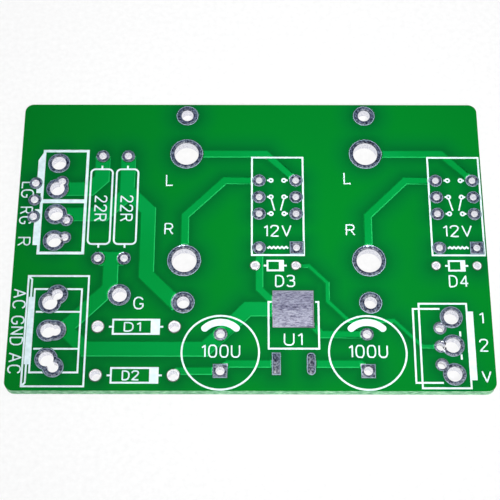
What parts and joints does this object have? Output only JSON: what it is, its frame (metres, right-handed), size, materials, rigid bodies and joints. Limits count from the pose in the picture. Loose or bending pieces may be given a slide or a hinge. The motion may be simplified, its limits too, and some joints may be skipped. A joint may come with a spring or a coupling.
{
  "type": "audio switching board",
  "caption": "Bare double-sided circuit board that selects between stereo inputs with relays: plated holes, tinned pads, green solder mask and white printed outlines.",
  "frame": {"origin": "centre of the underside, on the plane that the board rests on", "axes": "+X along the length towards the control plug, +Y towards the shell pads of the left sockets, +Z out of the printed side"},
  "size_m": [0.0642, 0.0424, 0.0016],
  "materials": {
    "laminate": "cut glass-epoxy edge, pale yellow-green",
    "solder_mask": "glossy green solder mask",
    "tinned_copper": "bright solder over copper",
    "legend_ink": "white printed ink"
  },
  "bodies": {
    "root": {"laminate": "laminate", "top_solder_mask": "solder_mask", "bottom_solder_mask": "solder_mask", "copper_left_output": "tinned_copper", "copper_left_ground": "tinned_copper", "copper_right_ground": "tinned_copper", "copper_right_output": "tinned_copper", "copper_supply_ground": "tinned_copper", "copper_ac_input_1": "tinned_copper", "copper_ac_input_2": "tinned_copper", "copper_raw_supply": "tinned_copper", "copper_regulated_supply": "tinned_copper", "copper_control_1": "tinned_copper", "copper_control_2": "tinned_copper", "copper_relay_1_left_input": "tinned_copper", "copper_relay_1_right_input": "tinned_copper", "copper_relay_2_left_input": "tinned_copper", "copper_relay_2_right_input": "tinned_copper", "copper_relay_1_left_rest": "tinned_copper", "copper_relay_1_right_rest": "tinned_copper", "copper_relay_2_left_rest": "tinned_copper", "copper_relay_2_right_rest": "tinned_copper", "output_plug_legend": "legend_ink", "ac_terminal_legend": "legend_ink", "control_plug_legend": "legend_ink", "resistor_1_legend": "legend_ink", "resistor_2_legend": "legend_ink", "rectifier_1_legend": "legend_ink", "rectifier_2_legend": "legend_ink", "relay_diode_1_legend": "legend_ink", "relay_diode_2_legend": "legend_ink", "capacitor_1_legend": "legend_ink", "capacitor_2_legend": "legend_ink", "regulator_legend": "legend_ink", "relay_1_legend": "legend_ink", "relay_2_legend": "legend_ink"}
  },
  "joints": []
}
